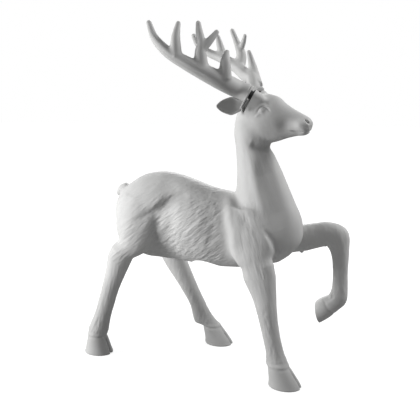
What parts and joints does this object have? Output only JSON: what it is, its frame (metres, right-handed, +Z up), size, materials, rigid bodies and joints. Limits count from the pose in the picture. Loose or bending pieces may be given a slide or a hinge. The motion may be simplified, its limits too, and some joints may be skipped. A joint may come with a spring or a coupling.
{
  "type": "light up yard reindeer",
  "caption": "Standing reindeer yard figure with a raised foreleg: hollow moulded body lit from inside, plug-in legs, pull-off antlers with ears, belly lamp hatch and stake bores in the hooves.",
  "frame": {"origin": "on the ground under the middle of the figure's bounding box", "axes": "+X ahead of the animal, +Y to its left, +Z up"},
  "size_m": [0.9463, 0.4084, 1.1986],
  "materials": {
    "shell": "matte translucent light grey moulding",
    "steel": "zinc-plated screws",
    "bush": "drawn tube",
    "black": "black moulded lampholder and gland",
    "gasket": "black sheet rubber",
    "brass": "rolled cap",
    "globe": "opal diffuser"
  },
  "bodies": {
    "figure": {"right_body_shell": "shell", "left_body_shell": "shell", "shell_screws": "steel", "right_hind_leg": "shell", "left_hind_leg": "shell", "right_foreleg": "shell", "left_foreleg": "shell", "leg_screws": "steel", "right_hind_stake_bush": "bush", "left_hind_stake_bush": "bush", "right_fore_stake_bush": "bush", "right_antler_socket": "shell", "left_antler_socket": "shell", "hatch_gasket": "gasket", "hatch_cover": "shell", "hatch_screws": "steel", "lampholder": "black", "bulb_cap": "brass", "bulb_globe": "globe", "gland_body": "black", "gland_locknut": "black", "gland_nut": "black"},
    "right_antler_unit": {"right_antler": "shell", "right_antler_peg": "shell", "right_ear": "shell"},
    "left_antler_unit": {"left_antler": "shell", "left_antler_peg": "shell", "left_ear": "shell"}
  },
  "joints": [
    {"name": "right_antler_pull", "type": "slide", "parent": "figure", "child": "right_antler_unit", "axis": [-0.8426, -0.2409, 0.4817], "range_m": [0, 0.07]},
    {"name": "left_antler_pull", "type": "slide", "parent": "figure", "child": "left_antler_unit", "axis": [-0.8426, 0.2409, 0.4817], "range_m": [0, 0.07]}
  ]
}
